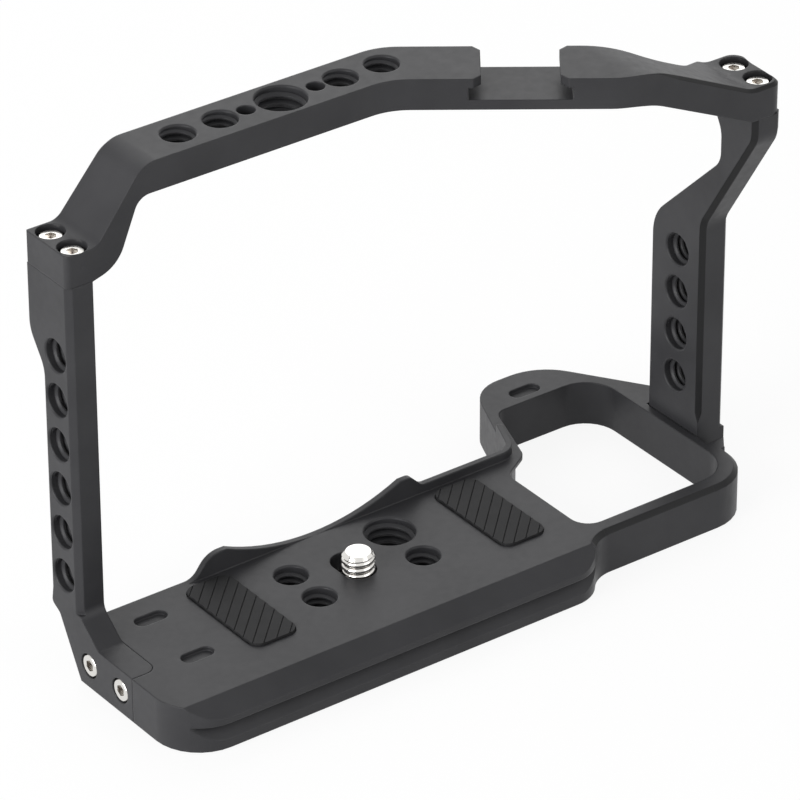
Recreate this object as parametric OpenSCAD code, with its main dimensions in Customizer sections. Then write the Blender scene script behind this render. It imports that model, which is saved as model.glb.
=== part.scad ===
// Camera cage: a base plate with a battery door ring, two uprights and a top bar.
// +X is the grip side seen from behind, +Y points to the lens, +Z is up.
// The outline tables below run in places measured from the left end face, the
// rear face of the plate and the underside. The module placed() centres them.

/* [Overall] */
// Width over the left end face and the right block
cage_w = 139.1; // [138.4:0.1:144]
// Height from the underside to the deck of the top bar
cage_h = 100.4; // [97:0.5:112]

/* [Base plate] */
// Thickness of the base plate
plate_t = 9.2; // [8.6:0.2:11]
// Depth of the slab from the rear face to the front edge
slab_d = 37.7; // [37:0.1:38.5]
// Radius of the rear left corner of the slab
slab_corner_r = 9.6; // [6:0.2:10]
// Radius of the bend at the rear right end of the slab
slab_end_r = 7.8; // [6:0.2:8.2]
// Depth of the bevel along the rear top edge
bevel_d = 3.7; // [2.5:0.1:4.2]
// Height of the same bevel
bevel_h = 3; // [2.6:0.1:3.2]
// Height of the upright land between the bevel and the clamp groove
land_h = 1.1; // [0.8:0.1:1.4]
// Height of the dovetail's edge below the clamp groove
flange_h = 1.8; // [1.5:0.1:2.1]
// Depth of the clamp groove
rail_d = 2.8; // [2.4:0.1:3]
// Distance from the slab's ends to the ends of the front groove
rail_end = 8; // [7:0.5:12]

/* [Battery door ring] */
// Width of the battery door opening
door_w = 35.5; // [33:0.5:36]
// Rear wall of the battery door opening
door_y0 = 8.8; // [8:0.2:9.4]
// Depth of the battery door opening
door_d = 42.8; // [41:0.2:43]
// Radius of the opening's rear corners
door_rear_r = 4; // [3:0.5:6]
// Radius of the opening's front right corner
door_front_r = 7; // [5:0.5:8]
// Step of the ring's rear face in front of the slab's rear face
ring_step = 5.4; // [5:0.1:5.8]
// Step of the slab's end to the left of the opening
slab_step = 2; // [1:0.1:3]
// Wall between the opening and the rear right corner
ring_wall = 3.5; // [3:0.1:4]
// Thin wall between the opening and the right upright's seat
seat_wall = 1.7; // [1.4:0.1:2]
// Radius of the ring's rear right corner
ring_corner_r = 9.6; // [7:0.2:10]
// Width of the chamfer round the rear rim of the ring
ring_chamfer = 0.9; // [0.6:0.1:1.2]
// Wall in front of the opening
bulge_wall = 9.4; // [8:0.2:11]

/* [Front lip] */
// Thickness of the lip that stops the camera body
lip_t = 1.2; // [0.9:0.1:1.8]
// Height of the two ears of the lip above the plate
lip_ear_h = 4.4; // [3:0.2:6]
// Height of the low ledge on the grip side
lip_ledge_h = 1.8; // [1:0.1:2.5]
// Radius of the arch that clears the lens
lip_arch_r = 46; // [40:1:60]

/* [Uprights] */
// Thickness of the left upright and its foot
left_t = 5.3; // [5.2:0.1:6]
// Thickness of the right upright
right_t = 6.5; // [6.3:0.1:7]
// Depth of the left upright where it carries the top bar
head_d = 12.7; // [12:0.1:13]
// Depth of the left upright along its row of holes
strip_d = 8.4; // [7.8:0.1:9]
// Depth of the right upright where it carries the top bar
right_head_d = 9.4; // [9:0.1:10]
// Depth of the right upright along its row of holes
right_strip_d = 14.6; // [12:0.1:15]
// Distance by which the right upright steps to the lens side going down
right_sweep = 14; // [12.6:0.1:14.4]
// Edge chamfer of the uprights
edge_c = 1.1; // [0.6:0.1:1.3]
// Height of the joint face on top of the left upright
left_seam_z = 80.9; // [78:0.5:84]
// Height of the joint face on top of the right upright
right_seam_z = 82.7; // [80:0.5:85]

/* [Threaded holes] */
// Major diameter of the small accessory thread
small_d = 6.35; // [6:0.05:6.6]
// Major diameter of the large accessory thread
large_d = 9.525; // [9.2:0.025:9.8]
// Depth of the countersink at the mouth of each threaded hole
mouth_c = 0.25; // [0.2:0.05:0.5]
// Distance between neighbouring holes on the uprights
hole_pitch = 9.1; // [8.2:0.1:9.4]
// Diameter of the two locating pin holes on the top bar
pin_d = 3.5; // [3:0.1:4]
// Distance from the large top hole to each pin hole
pin_offset = 7.5; // [7.4:0.05:8]
// Distance from the large top hole to each inner small hole
near_offset = 13; // [12.9:0.05:13.6]
// Distance from the large top hole to each outer small hole
far_offset = 22; // [21:0.1:23]

/* [Top bar] */
// Thickness of the deck
bar_t = 6.1; // [5.2:0.1:6.4]
// Depth of the straight deck from rear to front
bar_d = 11.6; // [11:0.1:12]
// Width of the turned deck that holds the accessory shoe
shoe_deck_w = 12.8; // [12:0.1:14]
// Distance from the turn to the middle of the shoe
shoe_place = 23.4; // [21:0.1:24]
// Depth of the right end block
block_d = 13.8; // [13.4:0.1:15]
// Angle at which the deck turns back
bar_turn = 36; // [34:0.5:38]
// Height of the two end blocks that sit on the uprights
block_h = 6.4; // [5.8:0.1:7]
// Width of the opening between the accessory shoe's lips
shoe_open = 14.2; // [12.5:0.1:15]
// Width of the slot under the lips
shoe_w = 18.8; // [18.5:0.1:19.4]
// Thickness of the lips
lip_h = 1.8; // [1.5:0.1:2]
// Height of the slot under the lips
shoe_h = 2.4; // [2:0.1:2.6]

/* [Fasteners] */
// Thread diameter of the assembly screws
screw_d = 2.5; // [2.2:0.1:2.6]
// Head diameter of the assembly screws
head_dia = 4.5; // [4.2:0.1:4.7]
// Head height of the assembly screws
head_h = 2.2; // [1.8:0.1:2.4]
// Hexagon key size of the assembly screws
key_af = 2; // [1.5:0.1:2.2]
// Distance between the two screws of a joint on the top bar
screw_gap = 6.8; // [6.2:0.1:7]
// Thread length of the assembly screws under their heads
screw_len = 6.5; // [5:0.5:7.5]

/* [Camera screw] */
// Length of the stud above the plate
stud_h = 3.9; // [3.5:0.1:6.5]
// Width of the slot in which the screw slides
slot_w = 6.8; // [6.7:0.1:7.4]
// Travel of the screw along its slot
slot_travel = 3.1; // [2:0.1:5]
// Diameter of the screw's head
knob_d = 12; // [11:0.2:12.6]
// Height of the screw's head
knob_h = 3; // [2.4:0.1:3.2]

/* [Rubber pads] */
// Width of each pad
pad_w = 9.9; // [8:0.1:10.2]
// Length of each pad
pad_l = 23.2; // [20:0.2:24]
// Height of each pad above the plate
pad_h = 0.5; // [0.4:0.1:1.2]
// Depth of the recess in which each pad is glued
pad_sink = 0.8; // [0.5:0.1:1]

/* [Hidden] */
$fn = 64;

over = 1;
fit = 0.1;
metal = [0.27, 0.27, 0.28];
steel = [0.78, 0.77, 0.75];
rubber = [0.11, 0.11, 0.11];

// Places along X, from the left end face
right_x = cage_w - right_t;
door_x1 = right_x - fit - seat_wall;
door_x0 = door_x1 - door_w;
slab_w = door_x0 - slab_step;
ring_x1 = door_x1 + ring_wall;
screw_share = 0.5624;
pad_left_share = 0.244;
pad_right_share = 0.8332;
pocket_share = 0.145;
hole_left_gap = 11.1;
hole_right_gap = 12.25;
screw_x = door_x0 * screw_share;
hole_left_x = screw_x - hole_left_gap;
hole_right_x = screw_x + hole_right_gap;
pad_left_x = door_x0 * pad_left_share;
pad_right_x = door_x0 * pad_right_share;
// Places along Y, from the rear face of the slab
screw_y = 22.3;
hole_near_gap = 3.4;
hole_far_gap = 5.6;
hole_large_gap = 7;
hole_near_y = screw_y - hole_near_gap;
hole_far_y = screw_y + hole_far_gap;
hole_large_y = screw_y + hole_large_gap;
pad_y = 11.8;
left_y = 33.3;
right_y = 7.8;
right_strip_y = right_y + right_sweep;
door_y1 = door_y0 + door_d;
cage_d = door_y1 + bulge_wall;
left_hole_y = left_y + edge_c + (strip_d - edge_c) / 2;
right_hole_y = right_strip_y + right_strip_d / 2;
// Heights
left_low_hole_z = 20.1;
right_low_hole_z = 19.2;
left_holes = 6;
right_holes = 4;
// Foot joints
foot_y = 16.8;
foot_r = 2;
foot_screw_y = 20.8;
foot_screw_gap = 9.9;
foot_screw_z = plate_t / 2;
sole_t = 3.6;
pocket_back = 3.2;
pocket_front = 0.6;
sole_screw_gap = 7.4;
// Screw holes
screw_hole_d = screw_d + 2 * fit;
recess_gap = 0.45;
foot_gap = 0.2;
recess_wall = 0.4;
top_recess_d = head_dia + 2 * recess_gap;
foot_recess_d = head_dia + 2 * foot_gap;
top_sink = 0.8;
left_screw_x = top_recess_d / 2 + recess_wall;
right_screw_x = cage_w - top_recess_d / 2 - recess_wall;
left_screw_place = 6.2;
right_screw_place = 7.1;
left_screw_y = left_y + left_screw_place;
right_screw_y = right_y + right_screw_place;
sole_screw_x = right_x + right_t / 2;
sole_screw_y = right_strip_y + right_strip_d / 2;
sole_grip = 4;
sole_screw_len = sole_t + sole_grip;
// Camera screw
under_h = 5.4;
washer_t = 0.8;
washer_gap = 0.1;
washer_rim = 0.8;
neck_d = 4.8;
stud_core_d = 5.1;
thread_pitch = 1.27;
knob_sink = 0.4;
washer_z = under_h - washer_gap - washer_t;
washer_d = knob_d + 2 * washer_rim;
// Small pockets for other accessories
slot_pocket_l = 6.7;
slot_pocket_w = 3.1;
slot_pocket_h = 0.8;
slot_pocket_x = door_x0 * pocket_share;
slot_pocket_gap = 14.8;
slot_pocket_y = 16.4;

// Points of a polygon with every corner rounded by its own radius.
function unit(v) = v / norm(v);
function corner(a, b, c, r, n) =
  let (u = unit(a - b), w = unit(c - b))
  let (h = acos(max(-1, min(1, u * w))) / 2)
  r <= 0 || h > 89 ? [b] :
  let (m = unit(u + w), o = b + m * r / sin(h))
  let (s = sign(u[0] * w[1] - u[1] * w[0]))
  let (t0 = atan2(-m[1], -m[0]), sweep = 90 - h)
  [for (i = [0:n])
    o + r * [cos(t0 + s * sweep * (1 - 2 * i / n)), sin(t0 + s * sweep * (1 - 2 * i / n))]];
function rounded(table, n = 8) =
  [for (i = [0:len(table) - 1])
    each corner(table[(i + len(table) - 1) % len(table)][0], table[i][0],
      table[(i + 1) % len(table)][0], table[i][1], n)];

module placed() {
  translate([-cage_w / 2, -cage_d / 2, 0])
    children();
}

// A profile drawn in (y, z) and pushed along +X from x0 by w.
module along_x(x0, w) {
  translate([x0, 0, 0])
    rotate([90, 0, 90])
      linear_extrude(height = w)
        children();
}

// A profile drawn in (x, z) and pushed along +Y from y0 by d.
module along_y(y0, d) {
  translate([0, y0 + d, 0])
    rotate([90, 0, 0])
      linear_extrude(height = d)
        children();
}

// A bore from z = 0 down by h, with a countersunk mouth.
module tapped(d, h) {
  translate([0, 0, -h])
    cylinder(d = d, h = h + over);
  translate([0, 0, -mouth_c])
    cylinder(d1 = d, d2 = d + 2 * (mouth_c + over), h = mouth_c + over);
}

// A bore right through a wall of thickness t, countersunk at both ends.
module tapped_through(d, t) {
  tapped(d, t + over);
  translate([0, 0, -t])
    mirror([0, 0, 1])
      tapped(d, t / 2);
}

// A slot along X with round ends, l long and w wide.
module obround(l, w, h) {
  translate([(w - l) / 2, -w / 2, 0])
    cube([l - w, w, h]);
  for (s = [-1, 1])
    translate([s * (l - w) / 2, 0, 0])
      cylinder(d = w, h = h);
}

// A slot along Y whose end centres lie at 0 and at l.
module long_slot(w, l, h) {
  translate([-w / 2, 0, 0])
    cube([w, l, h]);
  for (y = [0, l])
    translate([0, y, 0])
      cylinder(d = w, h = h);
}

// Assembly screw pointing down, with the top of its head at z = 0.
module cap_screw(len) {
  rim = key_af / 8;
  color(steel)
    difference() {
      union() {
        translate([0, 0, -head_h])
          cylinder(d = head_dia, h = head_h - rim);
        translate([0, 0, -rim])
          cylinder(d1 = head_dia, d2 = head_dia - 2 * rim, h = rim);
        translate([0, 0, -head_h - len])
          cylinder(d = screw_d, h = len + rim);
      }
      translate([0, 0, -head_h / 2])
        cylinder(d = key_af / cos(30), h = head_h, $fn = 6);
    }
}

// The hole for such a screw, with its head sunk by deep below z = 0.
module screw_hole(wide, deep, len) {
  translate([0, 0, -deep - head_h])
    cylinder(d = wide, h = deep + head_h + over);
  translate([0, 0, -deep - head_h - len - fit])
    cylinder(d = screw_hole_d, h = len + 2 * fit);
}

module at_left_top(side) {
  translate([left_screw_x, left_screw_y + side * screw_gap / 2, left_seam_z + block_h])
    children();
}

module at_right_top(side) {
  translate([right_screw_x, right_screw_y + side * screw_gap / 2, right_seam_z + block_h])
    children();
}

module at_left_foot(side) {
  translate([0, foot_screw_y + (side + 1) * foot_screw_gap / 2, foot_screw_z])
    rotate([0, -90, 0])
      children();
}

module at_right_foot(side) {
  translate([sole_screw_x, sole_screw_y + side * sole_screw_gap / 2, 0])
    mirror([0, 0, 1])
      children();
}

module all_screw_holes() {
  for (side = [-1, 1]) {
    at_left_top(side)
      screw_hole(top_recess_d, top_sink, screw_len);
    at_right_top(side)
      screw_hole(top_recess_d, top_sink, screw_len);
    at_left_foot(side)
      screw_hole(foot_recess_d, fit, screw_len);
    at_right_foot(side)
      screw_hole(foot_recess_d, fit, sole_screw_len);
  }
}

/* Base plate */
bevel_low = plate_t - bevel_h;
land_z = bevel_low - land_h;
// The slab's end swings over to the ring in two bends
end_turn = 50;
end_run = ring_step / tan(end_turn);
end_slant = ring_step / sin(end_turn);
end_swing_r = (end_slant / tan(end_turn / 2) - slab_end_r) * 0.97;
end_swing_x = slab_w + end_run / 2 + end_swing_r * tan(end_turn / 2);
rim_from = 96;
rim_to = 4;
rim_cut = [[-over, -ring_chamfer - over], [ring_chamfer + over, over], [-over, over]];
rail_cut = [[-over, flange_h - over], [0, flange_h], [rail_d, flange_h + rail_d],
  [rail_d, land_z], [-over, land_z]];
bulge_left_share = 0.388;
bulge_right_share = 0.814;
bulge_root_share = 0.124;
bulge_w = door_w * (bulge_right_share - bulge_left_share);
door_corner_share = 0.341;
door_bend_share = 0.194;
door_bend_in = 1.5;
door_step_d = 4.2;
door_bend_y = slab_d - door_bend_in;
door_step_y = door_bend_y - door_step_d;
root_pt = [door_x0 + door_w * bulge_root_share, slab_d];
bulge_left_pt = [door_x0 + door_w * bulge_left_share, cage_d];
// Relief under the rim where the left wall of the opening bends
rim_t = 0.9;
relief_outline = [
  [[door_x0, door_step_y - rim_t], 0],
  [[door_x0 + door_w * door_bend_share * 0.9, slab_d], ring_wall],
  [[door_x0 + door_w * door_corner_share * 0.75, slab_d + rim_t * 5], 0],
  [[door_x0 + door_w * door_corner_share, door_step_y], 0]];
// Each row holds a corner and its radius.
plate_outline = [
  [[0, 0], slab_corner_r],
  [[slab_w - end_run / 2, 0], slab_end_r],
  [[slab_w + end_run / 2, ring_step], end_swing_r],
  [[ring_x1, ring_step], ring_corner_r],
  [[ring_x1, right_strip_y - pocket_back - ring_wall * 0.8], ring_wall * 0.5],
  [[cage_w, right_strip_y + mouth_c], ring_wall],
  [[cage_w, right_strip_y + right_strip_d + ring_wall * 0.8], ring_wall],
  [[door_x0 + door_w * bulge_right_share, cage_d], bulge_w * 0.8],
  [bulge_left_pt, bulge_w * 0.56],
  [root_pt, ring_wall],
  [[0, slab_d], 0]];
door_outline = [
  [[door_x0, door_y0], door_rear_r],
  [[door_x1, door_y0], door_rear_r * 1.8],
  [[door_x1, door_y1], door_front_r],
  [[door_x0 + door_w * door_corner_share, door_y1], door_rear_r * 0.7],
  [[door_x0 + door_w * door_bend_share, door_bend_y], door_rear_r * 0.7],
  [[door_x0, door_step_y], door_rear_r * 0.8]];
arch_shift = 0.4;
lip_left = 26.8;
lip_right = 24.6;
ear_rise = 3.4;
arch_x = screw_x + arch_shift;
lip_x0 = arch_x - lip_left;
ledge_x = arch_x + lip_right;
// The low ledge turns at the ring and ends on the ring's left wall
wall_way = unit(bulge_left_pt - root_pt);
wall_in = [wall_way[1], -wall_way[0]];
tail_l = 8.6;
tail_x = (ledge_x + root_pt[0]) / 2;
tail_end = root_pt + wall_way * tail_l;
tail_outline = [
  [[tail_x, slab_d], 0],
  [[tail_x, slab_d - lip_t], 0],
  [root_pt + [lip_t * (1 - wall_way[0]) / wall_way[1], -lip_t], ring_wall + lip_t],
  [tail_end + wall_in * lip_t, lip_t * 0.45],
  [tail_end, 0],
  [root_pt, ring_wall]];
lip_profile = [
  [[lip_x0 - ear_rise, 0], 0],
  [[lip_x0, 0], ear_rise],
  [[lip_x0 + ear_rise, lip_ear_h], lip_ear_h * 1.1],
  [[ledge_x - (lip_ear_h - lip_ledge_h), lip_ear_h], lip_ear_h * 0.4],
  [[ledge_x, lip_ledge_h], lip_ledge_h],
  [[tail_x, lip_ledge_h], 0],
  [[tail_x, -rim_t], 0],
  [[lip_x0 - ear_rise, -rim_t], 0]];

module front_lip() {
  translate([0, 0, plate_t])
    difference() {
      along_y(slab_d - lip_t, lip_t)
        polygon(rounded(lip_profile));
      translate([arch_x, slab_d + over, lip_arch_r])
        rotate([90, 0, 0])
          cylinder(r = lip_arch_r, h = lip_t + 2 * over, $fn = 160);
    }
  translate([0, 0, plate_t - rim_t])
    linear_extrude(height = rim_t + lip_ledge_h)
      polygon(rounded(tail_outline));
}

// The left foot's place in the plate, larger by gap all round.
module left_foot_space(gap, top) {
  linear_extrude(height = top)
    polygon(rounded([
      [[-over, foot_y - gap], 0],
      [[left_t + gap, foot_y - gap], foot_r + gap],
      [[left_t + gap, slab_d + over], 0],
      [[-over, slab_d + over], 0]]));
}

module base_plate() {
  color(metal)
    placed()
      difference() {
        union() {
          linear_extrude(height = plate_t)
            difference() {
              polygon(rounded(plate_outline));
              polygon(rounded(door_outline));
            }
          front_lip();
        }
        translate([0, 0, -over])
          linear_extrude(height = plate_t - rim_t + over)
            polygon(rounded(relief_outline));
        // Bevel and clamp groove along the rear edge, and the groove in front
        along_x(-over, slab_w + end_run + over)
          polygon([[-over, bevel_low - over * bevel_h / bevel_d], [0, bevel_low],
            [bevel_d, plate_t], [bevel_d, plate_t + over], [-over, plate_t + over]]);
        along_x(-over, slab_w + end_run + over)
          polygon(rail_cut);
        along_x(rail_end, slab_w - 2 * rail_end)
          translate([slab_d, 0, 0])
            mirror([1, 0, 0])
              polygon(rail_cut);
        // Seats of the uprights
        translate([0, 0, -over])
          left_foot_space(fit, plate_t + 2 * over);
        translate([right_x - fit, right_strip_y - pocket_back, sole_t])
          cube([right_t + fit + over, pocket_back + right_strip_d + pocket_front, plate_t]);
        all_screw_holes();
        // Threaded holes
        translate([hole_left_x, hole_near_y, plate_t])
          tapped_through(small_d, plate_t);
        translate([hole_left_x, hole_far_y, plate_t])
          tapped_through(small_d, plate_t);
        translate([hole_right_x, hole_near_y, plate_t])
          tapped_through(small_d, plate_t);
        translate([hole_right_x, hole_large_y, plate_t])
          tapped_through(large_d, plate_t);
        // Slot of the camera screw, with room for the head below
        translate([screw_x, screw_y, -over])
          long_slot(slot_w, slot_travel, plate_t + 2 * over);
        translate([screw_x, screw_y, -over])
          long_slot(knob_d + 4 * fit, slot_travel, under_h + over);
        translate([screw_x, screw_y, washer_z - washer_gap])
          long_slot(washer_d + 4 * fit, slot_travel, washer_t + 2 * washer_gap);
        // Shallow slots
        for (i = [0, 1])
          translate([slot_pocket_x, slot_pocket_y + i * slot_pocket_gap,
            plate_t - slot_pocket_h])
            obround(slot_pocket_l, slot_pocket_w, slot_pocket_h + over);
        translate([door_x0 + door_w * (bulge_left_share + bulge_right_share) / 2,
          door_y1 + bulge_wall * 0.34, plate_t - slot_pocket_h])
          obround(slot_pocket_l, slot_pocket_w, slot_pocket_h + over);
        // Chamfer round the rear rim of the ring
        translate([end_swing_x, ring_step - end_swing_r, plate_t - ring_chamfer - over])
          cylinder(r1 = end_swing_r - over, r2 = end_swing_r + ring_chamfer + over,
            h = ring_chamfer + 2 * over);
        translate([0, ring_step, plate_t])
          along_x(end_swing_x - over, ring_x1 - ring_corner_r - end_swing_x + 2 * over)
            polygon(rim_cut);
        translate([ring_x1 - ring_corner_r, ring_step + ring_corner_r, plate_t])
          rotate([0, 0, -rim_from])
            rotate_extrude(angle = rim_from + rim_to)
              translate([ring_corner_r, 0])
                mirror([1, 0])
                  polygon(rim_cut);
        // Seats of the pads
        for (x = [pad_left_x, pad_right_x])
          translate([x, pad_y, plate_t - pad_sink])
            pad_shape(fit, pad_sink + over);
      }
}

/* Pads */
module pad_shape(gap, h) {
  linear_extrude(height = h)
    polygon(rounded([
      [[-gap, -gap], pad_r],
      [[pad_w + gap, -gap], pad_r],
      [[pad_w + gap, pad_l + gap], pad_r],
      [[-gap, pad_l + gap], pad_r]]));
}
pad_r = pad_w / 4;

module pad(x) {
  color(rubber)
    placed()
      translate([x, pad_y, plate_t - pad_sink])
        pad_shape(0, pad_sink + pad_h);
}

module left_pad() {
  pad(pad_left_x);
}

module right_pad() {
  pad(pad_right_x);
}

/* Uprights */
neck_down = 13.2;
neck_z = left_seam_z - neck_down;
neck_drop = 6.2;
heel_z = 3.5;
heel_kick = 0.5;
ramp_y = 5.7;
toe_z = 2.2;
toe_y = 1.9;
toe_in = 8.2;
left_profile = [
  [[foot_y, 0], 0],
  [[foot_y, plate_t], 0],
  [[left_y - ramp_y, plate_t], ramp_y / 4],
  [[left_y, plate_t + heel_z + edge_c], ramp_y / 2],
  [[left_y, left_seam_z], 0],
  [[left_y + head_d, left_seam_z], 0],
  [[left_y + head_d, neck_z], neck_drop],
  [[left_y + strip_d, neck_z - neck_drop], neck_drop],
  [[left_y + strip_d, plate_t + heel_z + edge_c * 3], edge_c * 3],
  [[left_y + strip_d + heel_kick, plate_t + heel_z], edge_c],
  [[left_y + strip_d - toe_y, plate_t + toe_z], edge_c],
  [[left_y + strip_d - toe_in, 0], 0]];

module left_upright() {
  color(metal)
    placed()
      difference() {
        along_x(0, left_t)
          polygon(rounded(left_profile));
        // The foot's inner rear corner is round, like its seat
        difference() {
          translate([left_t - foot_r, foot_y - over, -over])
            cube([foot_r + over, foot_r + over, plate_t + 2 * over]);
          translate([left_t - foot_r, foot_y + foot_r, -2 * over])
            cylinder(r = foot_r, h = plate_t + 4 * over);
        }
        // Chamfer on the outer rear edge
        translate([0, 0, plate_t + heel_z + edge_c])
          linear_extrude(height = left_seam_z - plate_t)
            polygon([[-over, left_y - over], [-over, left_y + edge_c],
              [0, left_y + edge_c], [edge_c, left_y], [edge_c, left_y - over]]);
        for (i = [0:left_holes - 1])
          translate([0, left_hole_y, left_low_hole_z + i * hole_pitch])
            rotate([0, -90, 0])
              tapped_through(small_d, left_t);
        all_screw_holes();
      }
}

knee_down = 4.5;
knee_h = 23.3;
shin_down = 12.4;
shin_h = 19.1;
knee_top = right_seam_z - knee_down;
knee_low = knee_top - knee_h;
shin_top = right_seam_z - shin_down;
shin_low = shin_top - shin_h;
boss_wall = 0.6;
boss_r = screw_hole_d / 2 + boss_wall;
boss_h = 4.5;
flare_z = 5.9;
flare_y = 3.2;
right_profile = [
  [[right_strip_y, sole_t], 0],
  [[right_strip_y, knee_low], right_head_d * 0.6],
  [[right_y, knee_top], right_head_d * 0.6],
  [[right_y, right_seam_z], 0],
  [[right_y + right_head_d + flare_y, right_seam_z], 0],
  [[right_y + right_head_d, right_seam_z - flare_z], flare_z],
  [[right_y + right_head_d, shin_top], right_head_d * 0.5],
  [[right_strip_y + right_strip_d, shin_low], right_head_d],
  [[right_strip_y + right_strip_d, sole_t], 0]];

module outer_chamfer(h) {
  linear_extrude(height = h)
    polygon([[cage_w - edge_c, 0], [cage_w - edge_c, -over], [cage_w + over, -over],
      [cage_w + over, edge_c], [cage_w, edge_c]]);
}

module right_upright() {
  color(metal)
    placed()
      difference() {
        union() {
          along_x(right_x, right_t)
            polygon(rounded(right_profile));
          // Boss for the front screw of the top joint
          translate([right_screw_x, right_screw_y + screw_gap / 2, right_seam_z - boss_h])
            cylinder(r = boss_r, h = boss_h);
          translate([right_screw_x, right_screw_y + screw_gap / 2,
            right_seam_z - boss_h - boss_r])
            cylinder(r1 = 0, r2 = boss_r, h = boss_r);
        }
        // Chamfers on the outer rear edge, low and high
        translate([0, right_strip_y, plate_t])
          outer_chamfer(knee_low - plate_t);
        translate([0, right_y, knee_top])
          outer_chamfer(right_seam_z - knee_top + over);
        for (i = [0:right_holes - 1])
          translate([right_x, right_hole_y, right_low_hole_z + i * hole_pitch])
            rotate([0, -90, 0])
              tapped_through(small_d, right_t);
        all_screw_holes();
      }
}

/* Top bar */
left_block_z = left_seam_z + block_h;
right_block_z = right_seam_z + block_h;
deck_low = cage_h - bar_t;
rise_x = 6.4;
rise_w = 10;
arm_x = 10.6;
arm_up = 1.5;
arm_r = 7;
arm_w = 4.8;
descent_w = 34.9;
crest_gap = 4.4;
row_shift = 6.95;
deck_x0 = rise_x + rise_w;
turn_run = (left_y - right_y) / tan(bar_turn);
turn_x = cage_w - descent_w - turn_run;
fall_x = turn_x + turn_run + crest_gap;
large_top_x = (deck_x0 + turn_x) / 2 + row_shift;
fall_end = right_x - edge_c / 2;
side_profile = [
  [[0, left_seam_z], 0],
  [[left_t, left_seam_z], 0],
  [[arm_x, left_seam_z + arm_up], arm_r],
  [[arm_x + arm_w, deck_low], arm_w * 0.7],
  [[fall_x - edge_c, deck_low], bar_t * 3],
  [[fall_end, right_seam_z], 0],
  [[cage_w, right_seam_z], 0],
  [[cage_w, right_block_z], 0],
  [[fall_end, right_block_z], bar_t],
  [[fall_x, cage_h], bar_t * 3],
  [[deck_x0, cage_h], bar_t],
  [[rise_x, left_block_z], bar_t / 2],
  [[0, left_block_z], 0]];

turn_dir = [cos(bar_turn), -sin(bar_turn)];
turn_out = [sin(bar_turn), cos(bar_turn)];
turn_pt = [turn_x, left_y];
far_pt = turn_pt + turn_out * shoe_deck_w;
function far_at(y) = far_pt + turn_dir * (far_pt[1] - y) / sin(bar_turn);
waist_d = 8.3;
waist_x = 16.5;
block_w = 9;
block_corner_r = 2.5;
bend_r = 12;
crisp_r = 0.3;
plan_outline = [
  [[0, left_y], edge_c],
  [turn_pt, bar_d],
  [turn_pt + turn_dir * (left_y - right_y) / sin(bar_turn), bend_r],
  [[cage_w, right_y], block_corner_r],
  [[cage_w, right_y + block_d], block_corner_r],
  [[cage_w - block_w, right_y + block_d], block_corner_r],
  [[cage_w - waist_x, right_y + waist_d], bend_r / 2],
  [far_at(right_y + waist_d), bend_r],
  [far_at(left_y + bar_d), bar_d],
  [[deck_x0, left_y + bar_d], 0],
  [[rise_x, left_y + head_d], 0],
  [[0, left_y + head_d], crisp_r]];
shoe_mouth = 1.5;

module shoe_cut() {
  translate([turn_x, left_y, cage_h])
    rotate([0, 0, -bar_turn])
      translate([shoe_place, shoe_deck_w / 2, 0]) {
        translate([-shoe_w / 2, -shoe_deck_w, -lip_h - shoe_h])
          cube([shoe_w, 2 * shoe_deck_w, shoe_h]);
        translate([-shoe_open / 2, -shoe_deck_w, -lip_h - shoe_h / 2])
          cube([shoe_open, 2 * shoe_deck_w, lip_h + shoe_h]);
        for (s = [-1, 1])
          translate([0, s * shoe_deck_w / 2, -lip_h - fit])
            linear_extrude(height = lip_h + over)
              polygon([[-shoe_open / 2 - shoe_mouth, s * fit],
                [-shoe_open / 2, -s * shoe_mouth], [shoe_open / 2, -s * shoe_mouth],
                [shoe_open / 2 + shoe_mouth, s * fit], [shoe_open / 2 + shoe_mouth, s * over],
                [-shoe_open / 2 - shoe_mouth, s * over]]);
      }
}

module top_bar() {
  color(metal)
    placed()
      difference() {
        intersection() {
          linear_extrude(height = cage_h + over)
            polygon(rounded(plan_outline));
          along_y(-over, cage_d + 2 * over)
            polygon(rounded(side_profile));
        }
        shoe_cut();
        translate([large_top_x, left_y + bar_d / 2, cage_h]) {
          tapped_through(large_d, bar_t);
          for (s = [-1, 1]) {
            translate([s * near_offset, 0, 0])
              tapped_through(small_d, bar_t);
            translate([s * far_offset, 0, 0])
              tapped_through(small_d, bar_t);
            translate([s * pin_offset, 0, -bar_t - over])
              cylinder(d = pin_d, h = bar_t + 2 * over);
          }
        }
        all_screw_holes();
      }
}

/* Fasteners */
module left_top_screw_front() {
  placed()
    at_left_top(1)
      translate([0, 0, -top_sink])
        cap_screw(screw_len);
}

module left_top_screw_rear() {
  placed()
    at_left_top(-1)
      translate([0, 0, -top_sink])
        cap_screw(screw_len);
}

module right_top_screw_front() {
  placed()
    at_right_top(1)
      translate([0, 0, -top_sink])
        cap_screw(screw_len);
}

module right_top_screw_rear() {
  placed()
    at_right_top(-1)
      translate([0, 0, -top_sink])
        cap_screw(screw_len);
}

module left_foot_screw_front() {
  placed()
    at_left_foot(1)
      translate([0, 0, -fit])
        cap_screw(screw_len);
}

module left_foot_screw_rear() {
  placed()
    at_left_foot(-1)
      translate([0, 0, -fit])
        cap_screw(screw_len);
}

module right_foot_screw_front() {
  placed()
    at_right_foot(1)
      translate([0, 0, -fit])
        cap_screw(sole_screw_len);
}

module right_foot_screw_rear() {
  placed()
    at_right_foot(-1)
      translate([0, 0, -fit])
        cap_screw(sole_screw_len);
}

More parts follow.
